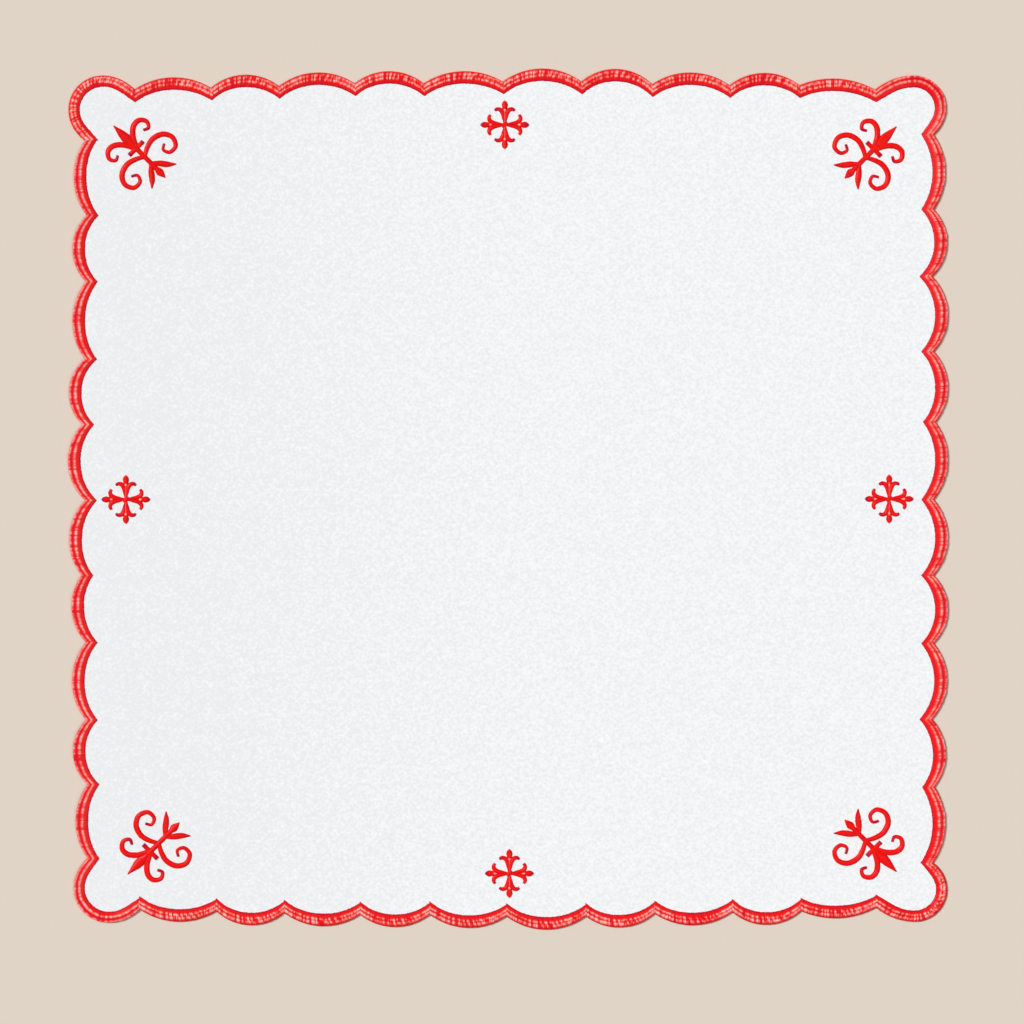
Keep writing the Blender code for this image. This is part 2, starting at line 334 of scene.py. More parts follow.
def cotton_finish():
    """Fine plain weave with thicker threads here and there, matt and a little cool, with painted shade
    towards the left-hand rim and between the threads.
    """
    cotton = Finish("white_cotton", {"Roughness": 0.92, "Sheen Weight": 0.12, "Sheen Roughness": 0.5})
    place = cotton.add("ShaderNodeTexCoord", output="Object")
    x = cotton.add("ShaderNodeSeparateXYZ", None, {"Vector": place}, output="X")
    y = x.sibling("Y")
    turn = math.pi / (WEAVE_PITCH * MM)
    warp_wave = (x * turn).math("SINE")
    weft_wave = (y * turn).math("SINE")
    warp = warp_wave.math("ABSOLUTE")
    weft = weft_wave.math("ABSOLUTE")
    over = (warp_wave * weft_wave).within(-CROSSING_BLEND, CROSSING_BLEND)
    # How high the weave stands at each point: it sets the bump, and painted shade in the dips.
    crossing = over * (warp * weft**0.5) + (1 - over) * (weft * warp**0.5)
    slubs_across = cotton.speckle(cotton.stretched(place, SLUB_LENGTH, 1.0), SLUB_WIDTH)
    slubs_along = cotton.speckle(cotton.stretched(place, 1.0, SLUB_LENGTH), SLUB_WIDTH)
    rise = crossing * CROSSING_RISE + slubs_across * SLUB_RISE + slubs_along * SLUB_RISE
    cotton.relief(rise, WEAVE_RELIEF)
    patches = {"Vector": place, "Scale": 1 / (DIAMOND_PATCH * MM)}
    drift = cotton.add("ShaderNodeTexNoise", None, patches, output="Color")
    drift_x = cotton.add("ShaderNodeSeparateXYZ", None, {"Vector": drift}, output="X")
    diamond = math.tau / (DIAMOND_SIZE * MM)
    across = ((x + drift_x * (DIAMOND_DRIFT * MM)) * diamond).math("SINE")
    along = ((y + drift_x.sibling("Y") * (DIAMOND_DRIFT * MM)) * diamond).math("SINE")
    spots = cotton.speckle(place, GRAIN_SIZE, 0.0)
    grain = spots * SPOT_SHARE + slubs_across * SLUB_SHARE + slubs_along * SLUB_SHARE
    half_width = (cad_high.x - cad_low.x) / 2
    # Painted shade, growing towards the left-hand rim.
    side = (x * (-1 / half_width)).within(-SIDE_START, 1.0)
    share = (grain - 0.5) * GRAIN_LIGHT + across * along * DIAMOND_LIGHT + crossing * CROSSING_LIGHT
    share = share + MIDDLE_LIGHT - side * SIDE_SHADE
    cotton.paint("Base Color", cotton.blend(share, COTTON_DARK, COTTON_LIGHT))
    return cotton.material


def cloth_wave(point):
    """How far the cloth stands up at a point, in metres."""
    reach = max(abs(point.x), abs(point.y)) / MM
    share = min(1.0, max(0.0, (WAVE_START - reach) / (WAVE_START - WAVE_FULL)))
    swell = noise.noise(point / (WAVE_LENGTH * MM))
    return share * share * (3 - 2 * share) * swell * WAVE_HEIGHT * MM


def lay_cloth(finish):
    """The outline filled with one face, cut into a grid, waved, and given its thickness."""
    outline = [rim for rims in scalloped_sides(OUTLINE_PITCH) for rim in rims]
    bm = bmesh.new()
    points = [rim.point + rim.inward * CLOTH_CUT for rim in outline]
    bm.faces.new([bm.verts.new((point.x * MM, point.y * MM, CLOTH_LOW * MM)) for point in points])
    for way, reach in ((Vector((1, 0, 0)), cad_high.x), (Vector((0, 1, 0)), cad_high.y)):
        lines = math.floor(reach / (CLOTH_GRID * MM))
        for k in range(-lines, lines + 1):
            whole = [*bm.verts, *bm.edges, *bm.faces]
            bmesh.ops.bisect_plane(bm, geom=whole, plane_co=way * (k * CLOTH_GRID * MM), plane_no=way)
    for vert in bm.verts:
        vert.co.z += cloth_wave(vert.co)
    raised = bmesh.ops.extrude_face_region(bm, geom=bm.faces[:], use_keep_orig=True)
    top = [item for item in raised["geom"] if isinstance(item, bmesh.types.BMVert)]
    bmesh.ops.translate(bm, verts=top, vec=(0, 0, (CLOTH_TOP - CLOTH_LOW) * MM))
    bmesh.ops.recalc_face_normals(bm, faces=bm.faces)
    mesh = bpy.data.meshes.new("cotton_sheet")
    area = sum(face.calc_area() for face in bm.faces if face.normal.z > 0.5)
    bm.to_mesh(mesh)
    bm.free()
    mesh.shade_smooth()
    mesh.set_sharp_from_angle(angle=math.radians(SMOOTH_ANGLE))
    mesh.materials.append(finish)
    made = bpy.data.objects.new("cotton_sheet", mesh)
    bpy.context.scene.collection.objects.link(made)
    return made, area


sheet, sheet_area = lay_cloth(cotton_finish())
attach(sheet, "root")
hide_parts("cloth_panel")

# The scalloped edge: close red satin stitches of glossy thread round the cut rim of the
# cloth. Each goes over two raised rows of padding, round the rim and back underneath.
THREAD_HALF_WIDTH = 0.30
THREAD_HALF_HEIGHT = 0.14
# The flat top of a pressed thread, as a share of its width.
THREAD_FLAT = 0.55
# How many corners the section of a thread has.
THREAD_CORNERS = 4
EDGE_PITCH = 0.5
# Towards the top of a lobe the two rows swell and sink like a twisted cord. A turn is this
# long, and in it a row sinks by this much, moves in and out by this much, and drifts by this
# share of a turn from one stitch to the next.
TWIST_PITCH = 3.1
TWIST_SINK = 0.42
TWIST_SHIFT = 0.35
TWIST_DRIFT = 0.12
# How strong the twist still is at the notches, as a share of what it is at a lobe's top.
TWIST_LEAST = 0.4
# Over a few stitches at a time the rows wander this much in depth and in lightness, and
# each stitch is off by about this much by itself.
WANDER_STITCHES = 5
WANDER_DEPTH = 0.16
WANDER_TONE = 0.14
JITTER = 0.06
# Where a stitch bends: its place is 0 at the rim, 1 on the outer row, 2 on the inner row and
# 3 at its inner end. The crown is the share it has in the painted highlight on the tops of
# the rows.
Bend = namedtuple("Bend", "place height crown")
ROW_TOP = 1.98
EDGE_STITCH = [
    Bend(place=3.0, height=0.7, crown=0.0),
    Bend(place=2.93, height=1.10, crown=0.1),
    Bend(place=2.70, height=1.38, crown=0.3),
    Bend(place=2.42, height=1.30, crown=0.1),
    Bend(place=2.2, height=1.74, crown=0.5),
    Bend(place=2.0, height=ROW_TOP, crown=1.0),
    Bend(place=1.73, height=1.66, crown=0.4),
    Bend(place=1.5, height=1.22, crown=0.0),
    Bend(place=1.27, height=1.66, crown=0.4),
    Bend(place=1.0, height=ROW_TOP, crown=1.0),
    Bend(place=0.4, height=1.6, crown=0.4),
    Bend(place=0.0, height=0.95, crown=0.1),
    Bend(place=0.1, height=0.22, crown=0.0),
    Bend(place=2.9, height=0.2, crown=0.0),
]
BEND_PLACE = np.array([bend.place for bend in EDGE_STITCH])
BEND_HEIGHT = np.array([bend.height for bend in EDGE_STITCH])
BEND_CROWN = np.array([bend.crown for bend in EDGE_STITCH])
# How far in from the rim the middle of the thread lies where a stitch goes round it.
RIM_DEPTH = 0.28
# How the rows run along a lobe: at each share of its length, how far in the outer row, the
# inner row and the end of a stitch lie, how full the dip between the rows is, how strong the
# painted highlight on the two rows is, how far the turns slant from one row to the other, in
# half turns, and how strong they are. The threads lie across the light on the near and far
# sides and along it on the left and right ones, so the rows and their painted highlights
# come out differently.
Run = namedtuple("Run", "share outer inner reach bridge outer_light inner_light slant twist")
EDGE_RUNS = {
    "near": [
        Run(0.0, outer=2.2, inner=4.5, reach=7.6, bridge=0.31,
            outer_light=0.95, inner_light=0.75, slant=0.3, twist=1.0),
        Run(0.15, outer=2.2, inner=4.5, reach=7.2, bridge=0.38,
            outer_light=0.95, inner_light=0.8, slant=-0.6, twist=1.0),
        Run(0.5, outer=2.5, inner=4.2, reach=7.4, bridge=0.81,
            outer_light=0.85, inner_light=0.85, slant=0.7, twist=1.0),
        Run(1.0, outer=2.0, inner=3.9, reach=7.0, bridge=0.62,
            outer_light=0.7, inner_light=0.85, slant=1.2, twist=1.0),
    ],
    "right": [
        Run(0.0, outer=1.8, inner=3.4, reach=7.5, bridge=0.5,
            outer_light=0.59, inner_light=0.69, slant=1.0, twist=0.55),
        Run(0.35, outer=0.7, inner=3.7, reach=7.6, bridge=0.15,
            outer_light=0.74, inner_light=0.81, slant=0.6, twist=0.55),
        Run(0.65, outer=0.6, inner=3.7, reach=7.7, bridge=0.1,
            outer_light=0.81, inner_light=0.81, slant=0.2, twist=0.55),
        Run(1.0, outer=1.7, inner=4.0, reach=7.5, bridge=0.45,
            outer_light=0.62, inner_light=0.65, slant=-0.6, twist=0.55),
    ],
    "far": [
        Run(0.0, outer=1.0, inner=4.0, reach=7.0, bridge=0.62,
            outer_light=0.7, inner_light=0.8, slant=-1.2, twist=1.0),
        Run(0.4, outer=2.0, inner=4.0, reach=7.3, bridge=0.81,
            outer_light=0.8, inner_light=0.9, slant=-0.7, twist=1.0),
        Run(0.85, outer=2.3, inner=4.6, reach=7.2, bridge=0.50,
            outer_light=0.9, inner_light=0.8, slant=0.8, twist=1.0),
        Run(1.0, outer=2.3, inner=4.7, reach=7.6, bridge=0.38,
            outer_light=0.9, inner_light=0.75, slant=0.8, twist=1.0),
    ],
    "left": [
        Run(0.0, outer=0.8, inner=3.5, reach=6.7, bridge=0.25,
            outer_light=0.65, inner_light=0.67, slant=0.6, twist=0.5),
        Run(0.5, outer=0.6, inner=4.0, reach=7.4, bridge=0.18,
            outer_light=0.77, inner_light=0.9, slant=0.2, twist=0.5),
        Run(1.0, outer=0.8, inner=3.6, reach=6.7, bridge=0.25,
            outer_light=0.65, inner_light=0.75, slant=-0.6, twist=0.5),
    ],
}
# What a dip that is quite full has of the crown.
BRIDGE_CROWN = 0.85
# Round the bend of a corner lobe the stitches are this much shorter, as a share.
CORNER_SHORT = 0.1
# Painted shade: the inner ends of the stitches, from this place on, and the dip are painted
# this much darker, and so are the low turns of the rows. A curve below 1 makes the dark part
# of a turn longer.
END_SHADE = 0.9
END_PLACE = 2.6
DIP_SHADE = 0.7
TURN_SHADE = 0.88
TURN_CURVE = 0.6
# How light a thread is, how far one is from the next in that, and the share of this that
# it still has away from the crowns.
THREAD_LIGHT = 0.95
THREAD_LIGHT_SPREAD = 0.14
PLAIN_SPREAD = 0.25

SCARLET = (0.90, 0.009, 0.003, 1.0)
SHADED_CRIMSON = (0.36, 0.001, 0.056, 1.0)
HIGHLIGHT_CORAL = (1.0, 0.68, 0.62, 1.0)
# A thread is painted crimson in shade and scarlet where its tone and its crown, with these
# weights and this start, come to the full value.
BODY_START = 0.1
BODY_TONE = 0.55
BODY_CROWN = 0.6
SCARLET_FULL = 0.75
# Painted highlight: the crown's light turns it coral between these two values, and up to this share.
HIGHLIGHT_START = 0.14
HIGHLIGHT_FULL = 1.02
HIGHLIGHT_SHARE = 0.95
# The plies that the thread is twisted from.
PLY_PITCH = 0.45
PLY_RELIEF = 0.018
# The thread is smoother here and rougher there, in patches of this size, and a light thread
# is a little smoother than a dark one.
ROUGHNESS = 0.28
ROUGHNESS_SPREAD = 0.16
ROUGHNESS_PATCH = 6.0
LIGHT_GLOSS = 0.06


def thread_finish():
    """Glossy twisted rayon, scarlet, with painted shade in crimson between the rows and a painted coral
    highlight on the crowns.
    """
    satin = Finish("red_satin_thread", {"Specular IOR Level": 0.12})
    crown = satin.add("ShaderNodeAttribute", {"attribute_name": "crown"}, output="Fac")
    tone_and_shade = satin.add("ShaderNodeAttribute", {"attribute_name": "tone_and_shade"}, output="Fac")
    scarlet = (tone_and_shade * BODY_TONE + crown * BODY_CROWN + BODY_START).within(0.0, SCARLET_FULL)
    # Painted highlight: coral on the crowns of the rows.
    painted_highlight = (crown * tone_and_shade).within(HIGHLIGHT_START, HIGHLIGHT_FULL) * HIGHLIGHT_SHARE
    # Painted shade: crimson where tone and crown are low, scarlet where they are high.
    body = satin.blend(scarlet, SHADED_CRIMSON, SCARLET)
    satin.paint("Base Color", satin.blend(painted_highlight, body, HIGHLIGHT_CORAL))
    along = satin.add("ShaderNodeTexCoord", output="UV")
    u = satin.add("ShaderNodeSeparateXYZ", None, {"Vector": along}, output="X")
    twist = ((u * (1 / PLY_PITCH) + u.sibling("Y")) * math.tau).math("SINE")
    satin.relief(twist * 0.5 + 0.5, PLY_RELIEF)
    place = satin.add("ShaderNodeTexCoord", output="Object")
    patches = satin.speckle(place, ROUGHNESS_PATCH)
    satin.paint("Roughness", patches * ROUGHNESS_SPREAD + (ROUGHNESS - tone_and_shade * LIGHT_GLOSS))
    return satin.material


def thread_mesh(name, rings):
    """Closed tubes in one mesh. rings holds the corners of every ring of every thread."""
    threads, points, corners, _ = rings.shape
    number = np.arange(threads * points * corners).reshape(threads, points, corners)
    ahead = np.roll(number, -1, axis=1)
    quads = np.stack([number, np.roll(number, -1, axis=2), np.roll(ahead, -1, axis=2), ahead], axis=3)
    mesh = bpy.data.meshes.new(name)
    mesh.vertices.add(number.size)
    mesh.vertices.foreach_set("co", (rings * MM).astype(np.float32).ravel())
    mesh.loops.add(quads.size)
    mesh.loops.foreach_set("vertex_index", quads.astype(np.int32).ravel())
    mesh.polygons.add(number.size)
    starts = np.arange(0, quads.size, quads.shape[3], dtype=np.int32)
    mesh.polygons.foreach_set("loop_start", starts)
    return mesh


def map_threads(mesh, loops):
    """The UV map that the plies follow: millimetres along a thread and the share round it."""
    steps = np.linalg.norm(np.roll(loops, -1, axis=1) - loops, axis=2)
    reach = np.concatenate([np.zeros((len(loops), 1)), np.cumsum(steps, axis=1)], axis=1)
    round_share = np.arange(THREAD_CORNERS + 1) / THREAD_CORNERS
    start_u = np.repeat(reach[:, :-1, None], THREAD_CORNERS, axis=2)
    end_u = np.repeat(reach[:, 1:, None], THREAD_CORNERS, axis=2)
    low_v = np.broadcast_to(round_share[:-1], start_u.shape)
    high_v = np.broadcast_to(round_share[1:], start_u.shape)
    us = np.stack([start_u, start_u, end_u, end_u], axis=3)
    vs = np.stack([low_v, high_v, high_v, low_v], axis=3)
    layer = mesh.uv_layers.new(name="thread")
    layer.data.foreach_set("uv", np.stack([us, vs], axis=4).astype(np.float32).ravel())


def sharpen_threads(mesh):
    """Shades the threads smooth along their length and sharp over their corners."""
    mesh.shade_smooth()
    ends = np.empty(len(mesh.edges) * 2, dtype=np.int32)
    mesh.edges.foreach_get("vertices", ends)
    ring = ends.reshape(-1, 2) // THREAD_CORNERS
    sharp = mesh.attributes.new("sharp_edge", "BOOLEAN", "EDGE")
    sharp.data.foreach_set("value", ring[:, 0] != ring[:, 1])


def sewn(name, loops, level, crown, tone_and_shade, finish):
    """Many closed loops of thread joined in one mesh.

    loops holds the middle line of each loop, and level the direction in the cloth's plane
    that is square to it. crown and tone_and_shade become colours: how much of a ridge each
    point is on, which takes the painted highlight, and how light each point's thread is, with
    painted shade.
    """
    along = np.roll(loops, -1, axis=1) - np.roll(loops, 1, axis=1)
    along /= np.linalg.norm(along, axis=2, keepdims=True)
    level = np.broadcast_to(level[:, None, :], loops.shape)
    wide = level * THREAD_HALF_WIDTH
    tall = np.cross(along, level) * THREAD_HALF_HEIGHT
    flat = wide * THREAD_FLAT
    corners = [loops + wide - tall, loops + flat + tall, loops - flat + tall, loops - wide - tall]
    mesh = thread_mesh(name, np.stack(corners, axis=2))
    map_threads(mesh, loops)
    for attribute, values in (("crown", crown), ("tone_and_shade", tone_and_shade)):
        made = mesh.attributes.new(attribute, "FLOAT", "POINT")
        made.data.foreach_set("value", np.repeat(values.astype(np.float32).ravel(), THREAD_CORNERS))
    mesh.update(calc_edges=True)
    mesh.validate()
    sharpen_threads(mesh)
    mesh.materials.append(finish)
    piece = bpy.data.objects.new(name, mesh)
    bpy.context.scene.collection.objects.link(piece)
    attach(piece, "root")
    return piece


def rows_at(side, rims):
    """How the rows run at each stitch of a side, as a Run of columns."""
    share = np.array([rim.share for rim in rims])[:, None]
    shares, *columns = np.array(EDGE_RUNS[side]).T
    return Run(share, *(np.interp(share, shares, column) for column in columns))


def plain_stitches(run, rims):
    """How far in, how high and how much on a crown the stitches bend, before the twist."""
    anchors = [RIM_DEPTH, run.outer, run.inner, run.reach]
    depth = sum(np.clip(1 - np.abs(BEND_PLACE - k), 0, 1) * anchor for k, anchor in enumerate(anchors))
    depth = depth * (1 - CORNER_SHORT * np.array([rim.bend for rim in rims])[:, None])
    between = run.bridge * ((BEND_PLACE > 1) & (BEND_PLACE < 2))
    height = BEND_HEIGHT + between * (ROW_TOP - BEND_HEIGHT)
    crown = BEND_CROWN + between * (BRIDGE_CROWN - BEND_CROWN)
    inner_share = np.clip(BEND_PLACE - 1, 0, 1)
    crown = crown * (run.outer_light + (run.inner_light - run.outer_light) * inner_share)
    return depth, height, crown


def twist_rows(run, draw):
    """How far round its turn each bend of each stitch is, in radians, and how strongly."""
    count = len(run.share)
    turns = np.arange(count)[:, None] * EDGE_PITCH / TWIST_PITCH
    turns = turns + np.cumsum(draw.normal(0, TWIST_DRIFT, (count, 1)), axis=0)
    turns = turns + 0.5 * run.slant * (BEND_PLACE - 1)
    strength = run.twist * (TWIST_LEAST + (1 - TWIST_LEAST) * np.sin(math.pi * run.share) ** 2)
    return math.tau * turns, strength


def stitch_tone_and_shade(run, crown, low_turn, wander, draw):
    """How light the thread is at each bend of each stitch, from 0 to 1, painted shade included."""
    on_row = np.clip(2 * crown, 0, 1)
    uneven = draw.normal(0, THREAD_LIGHT_SPREAD, (len(crown), 1)) + WANDER_TONE * wander
    light = THREAD_LIGHT + uneven * np.clip(on_row, PLAIN_SPREAD, 1)
    end = np.clip((BEND_PLACE - END_PLACE) / (3 - END_PLACE), 0, 1)
    dip = (1 - run.bridge) * np.clip(1 - 3 * np.abs(BEND_PLACE - 1.5), 0, 1)
    light = light * (1 - END_SHADE * end) * (1 - DIP_SHADE * dip)
    return np.clip(light - TURN_SHADE * low_turn * on_row, 0, 1)


def edge_stitches(side, rims, draw, finish):
    """The stitches of one side and of the corner lobe after it."""
    count = len(rims)
    run = rows_at(side, rims)
    depth, height, crown = plain_stitches(run, rims)
    angle, strength = twist_rows(run, draw)
    low_turn = 0.5 - 0.5 * np.cos(angle)
    soft = np.ones(WANDER_STITCHES) / math.sqrt(WANDER_STITCHES)
    wander = [np.convolve(draw.normal(0, 1, count), soft, "same")[:, None] for _ in range(2)]
    height = height - TWIST_SINK * crown * low_turn * strength
    height = height + draw.normal(0, JITTER, (count, 1)) * (crown > 0)
    depth = depth + WANDER_DEPTH * wander[0] * crown
    depth = depth + TWIST_SHIFT * crown * np.sin(angle) * strength * np.cos(math.pi * run.share)
    depth = depth + draw.normal(0, JITTER, (count, 1)) * (BEND_PLACE > END_PLACE)
    point = np.array([rim.point[:] for rim in rims])
    inward = np.array([rim.inward[:] for rim in rims])
    plan = point[:, None, :] + inward[:, None, :] * depth[:, :, None]
    loops = np.concatenate([plan, height[:, :, None]], axis=2)
    level = np.stack([-inward[:, 1], inward[:, 0], np.zeros(count)], axis=1)
    tone_and_shade = stitch_tone_and_shade(run, crown, low_turn**TURN_CURVE * strength, wander[1], draw)
    return sewn(f"edge_stitches_{side}", loops, level, crown, tone_and_shade, finish)


draw = np.random.default_rng(11)
red_satin = thread_finish()
for side_name, side_rims in zip(EDGE_RUNS, scalloped_sides(EDGE_PITCH)):
    edge_piece = edge_stitches(side_name, side_rims, draw, red_satin)
    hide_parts("scalloped_edge")

# The crosses fleury: one at the middle of each side, in satin stitch. Each arm is a pair of
# columns of stitches that part and curl outwards, with a pointed leaf between them.
Station = namedtuple("Station", "across along width")
# A motif's place in millimetres, and how far it is turned, in degrees.
Place = namedtuple("Place", "name x y turn")
CROSSES = [
    Place("cross_far", -1.9, 212.2, 0),
    Place("cross_near", 0.7, -212.2, 0),
    Place("cross_left", -216.7, -0.2, 0),
    Place("cross_right", 216.0, 0.1, 0),
]
MOTIF_PITCH = 0.45
STROKE_STEPS = 8
# A stitch stands higher the wider its column is, from the thinnest to the highest.
LOWEST_CROWN = 0.3
CROWN_PER_WIDTH = 0.17
HIGHEST_CROWN = 0.85
LAYER_LIFT = 0.08
# Each stitch is off by about this much in height, and by this share in width.
MOTIF_JITTER = 0.02
# Behind the cloth a stitch runs back at this height, on this share of the column's width.
BACK_HEIGHT = 0.2
BACK_SHARE = 0.85
# How light the thread of a motif is.
MOTIF_LIGHT = 0.85
ARM_CURL = [
    Station(across=0.30, along=0.3, width=0.8),
    Station(across=0.50, along=2.2, width=1.1),
    Station(across=0.80, along=4.2, width=1.8),
    Station(across=1.10, along=6.0, width=2.2),
    Station(across=1.85, along=7.9, width=2.6),
    Station(across=3.10, along=8.8, width=2.3),
    Station(across=4.50, along=8.85, width=1.9),
    Station(across=5.45, along=8.2, width=1.5),
]
ARM_TIP = [
    Station(across=0.0, along=6.8, width=1.2),
    Station(across=0.0, along=8.4, width=2.4),
    Station(across=0.0, along=9.8, width=2.9),
    Station(across=0.0, along=11.4, width=3.5),
    Station(across=0.0, along=12.8, width=2.4),
    Station(across=0.0, along=13.5, width=0.8),
]
# A rib of stitches with a painted highlight lies on top of the upright arms, and a short one
# with a brighter painted highlight lies on the neck of every arm, where its columns part.
ARM_RIB = [
    Station(across=0.0, along=1.5, width=0.7),
    Station(across=0.0, along=5.0, width=1.2),
    Station(across=0.0, along=7.6, width=1.5),
]
ARM_NECK = [
    Station(across=0.0, along=7.3, width=1.1),
    Station(across=0.0, along=8.5, width=2.2),
    Station(across=0.0, along=9.7, width=1.1),
]
CROSS_KNOT = [
    Station(across=-1.3, along=-1.3, width=0.8),
    Station(across=0.0, along=0.0, width=2.6),
    Station(across=1.3, along=1.3, width=0.8),
]
# A column of stitches, how strong the painted highlight on its crown is, and how many layers
# it lies above the cloth.
Stroke = namedtuple("Stroke", "stations gleam lift")
PLAIN_GLEAM = 0.2
RIB_GLEAM = 0.5
NECK_GLEAM = 1.4
# Painted shade: the last stitches of a column, from this share of its length on, are painted
# this much darker where they lie up and down the napkin, across the light.
TIP_START = 0.68
TIP_SHADE = 0.9
# A satin stitch across a column: how far out each of its points is, as a share of half the
# column's width, how high it is, as a share of the crown, and how much it has of the crown.
Arch = namedtuple("Arch", "out rise crown")
STITCH_ARCH = [
    Arch(out=-1.0, rise=-0.4, crown=0.0),
    Arch(out=-0.92, rise=0.3, crown=0.0),
    Arch(out=-0.5, rise=0.85, crown=0.4),
    Arch(out=0.0, rise=1.0, crown=1.0),
    Arch(out=0.5, rise=0.85, crown=0.4),
    Arch(out=0.92, rise=0.3, crown=0.0),
    Arch(out=1.0, rise=-0.4, crown=0.0),
]


def smoothed(stations, steps):
    """The stations with others between them on a smooth curve, steps to a span."""
    rows = [stations[0], *stations, stations[-1]]
    result = []
    for k in range(1, len(rows) - 2):
        before, here, there, after = rows[k - 1 : k + 3]
        for step in range(steps):
            t = step / steps
            blended = []
            for a, b, c, d in zip(before, here, there, after):
                slope, next_slope = (c - a) / 2, (d - b) / 2
                square = 3 * (c - b) - 2 * slope - next_slope
                cube = 2 * (b - c) + slope + next_slope
                blended.append(b + slope * t + square * t**2 + cube * t**3)
            result.append(Station(*blended))
    return result + [stations[-1]]


def mirrored(stations):
    return [Station(-row.across, row.along, row.width) for row in stations]


def turned(stations, degrees):
    rotation = Matrix.Rotation(math.radians(degrees), 2)
    points = [rotation @ Vector((row.across, row.along)) for row in stations]
    return [Station(*point, row.width) for point, row in zip(points, stations)]


def column_stitches(stations):
    """Where the stitches of one column lie: their middles, the way across, and the widths.

    Round a bend they are set closer, so that none of the cloth shows on the outside of it.
    """
    fine = np.array(smoothed(stations, STROKE_STEPS))
    legs = np.linalg.norm(np.diff(fine[:, :2], axis=0), axis=1)
    reach = np.concatenate([[0.0], np.cumsum(legs)])
    way = np.gradient(fine[:, :2], axis=0)
    heading = np.unwrap(np.arctan2(way[:, 1], way[:, 0]))
    spread = reach + np.concatenate([[0.0], np.cumsum(np.abs(np.diff(heading)))]) * fine[:, 2].mean() / 2
    count = max(3, round(spread[-1] / MOTIF_PITCH))
    at = np.interp(np.linspace(0, spread[-1], count), spread, np.arange(len(fine)))
    rows = np.arange(len(fine))
    middle = np.stack([np.interp(at, rows, fine[:, 0]), np.interp(at, rows, fine[:, 1])], axis=1)
    angle = np.interp(at, rows, heading)
    across = np.stack([np.sin(angle), -np.cos(angle)], axis=1)
    return middle, across, np.interp(at, rows, fine[:, 2])


def motif_loops(strokes, draw):
    """The loops of thread of a whole motif."""
    out = np.array([arch.out for arch in STITCH_ARCH])[None, :]
    rise = np.array([arch.rise for arch in STITCH_ARCH])[None, :]
    arch_crown = np.array([*(arch.crown for arch in STITCH_ARCH), 0.0, 0.0])[None, :]
    loops, levels, crowns, tones_and_shades = [], [], [], []
    for stations, gleam, lift in strokes:
        middle, across, width = column_stitches(stations)
        count = len(middle)
        half = width[:, None] / 2 * (1 + draw.normal(0, MOTIF_JITTER, (count, 1)))
        crest = np.clip(LOWEST_CROWN + CROWN_PER_WIDTH * width, None, HIGHEST_CROWN)[:, None]
        crest = crest + draw.normal(0, MOTIF_JITTER, (count, 1)) + LAYER_LIFT * lift
        reach = np.concatenate([out * half, half * BACK_SHARE, half * -BACK_SHARE], axis=1)
        top = CLOTH_TOP - THREAD_HALF_HEIGHT + rise * crest
        back = np.full((count, 2), BACK_HEIGHT)
        plan = middle[:, None, :] + across[:, None, :] * reach[:, :, None]
        loops.append(np.concatenate([plan, np.concatenate([top, back], axis=1)[:, :, None]], axis=2))
        levels.append(np.stack([-across[:, 1], across[:, 0], np.zeros(count)], axis=1))
        crowns.append(np.broadcast_to(arch_crown * gleam, (count, arch_crown.size)))
        ending = np.clip((np.linspace(0, 1, count) - TIP_START) / (1 - TIP_START), 0, 1)
        shade = TIP_SHADE * (ending * across[:, 1] ** 2)[:, None]
        uneven = draw.normal(0, THREAD_LIGHT_SPREAD, (count, 1))
        light = np.clip(MOTIF_LIGHT + uneven - shade, 0, 1)
        tones_and_shades.append(light * np.ones((1, arch_crown.size)))
    return [np.concatenate(parts) for parts in (loops, levels, crowns, tones_and_shades)]


def place_motif(place, strokes, draw, finish):
    """A motif's own loops, turned and moved to its place on the cloth."""
    loops, level, crown, tone_and_shade = motif_loops(strokes, draw)
    rotation = np.array(Matrix.Rotation(math.radians(place.turn), 3, "Z"))
    loops = loops @ rotation.T + np.array([place.x, place.y, 0.0])
    piece = sewn(f"{place.name}_stitches", loops, level @ rotation.T, crown, tone_and_shade, finish)
    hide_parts(place.name)
    return piece


cross_strokes = []
for quarter in (0, 90, 180, 270):
    for lift, rows in enumerate((ARM_CURL, mirrored(ARM_CURL), ARM_TIP)):
        cross_strokes.append(Stroke(turned(rows, quarter), PLAIN_GLEAM, lift))
    if quarter in (0, 180):
        cross_strokes.append(Stroke(turned(ARM_RIB, quarter), RIB_GLEAM, 3))
    cross_strokes.append(Stroke(turned(ARM_NECK, quarter), NECK_GLEAM, 3))
cross_strokes.append(Stroke(CROSS_KNOT, PLAIN_GLEAM, 0))
for spot in CROSSES:
    place_motif(spot, cross_strokes, draw, red_satin)

# The lily sprigs: one in each corner, pointing to it, in the same satin stitch. A stem with
# a bud carries a pair of petals, a pair of scrolls and a pair of leaves.
SPRIGS = [
    Place("sprig_far_left", -209.0, 197.0, 45),
    Place("sprig_far_right", 205.5, 196.5, -45),
    Place("sprig_near_right", 205.5, -196.5, -135),
    Place("sprig_near_left", -201.0, -198.0, 135),
]
SPRIG_AXIS = {
    "stem": [
        Station(across=0.0, along=-15.0, width=2.8),
        Station(across=0.0, along=8.0, width=2.8),
    ],
    "bud": [
        Station(across=0.0, along=5.5, width=2.4),
        Station(across=0.0, along=9.5, width=5.6),
        Station(across=0.0, along=13.5, width=4.8),
        Station(across=0.0, along=17.5, width=2.4),
        Station(across=0.0, along=20.5, width=0.6),
    ],
    "drop": [
        Station(across=0.0, along=-13.5, width=2.2),
        Station(across=0.0, along=-16.5, width=4.4),
        Station(across=0.0, along=-20.5, width=0.6),
    ],
}
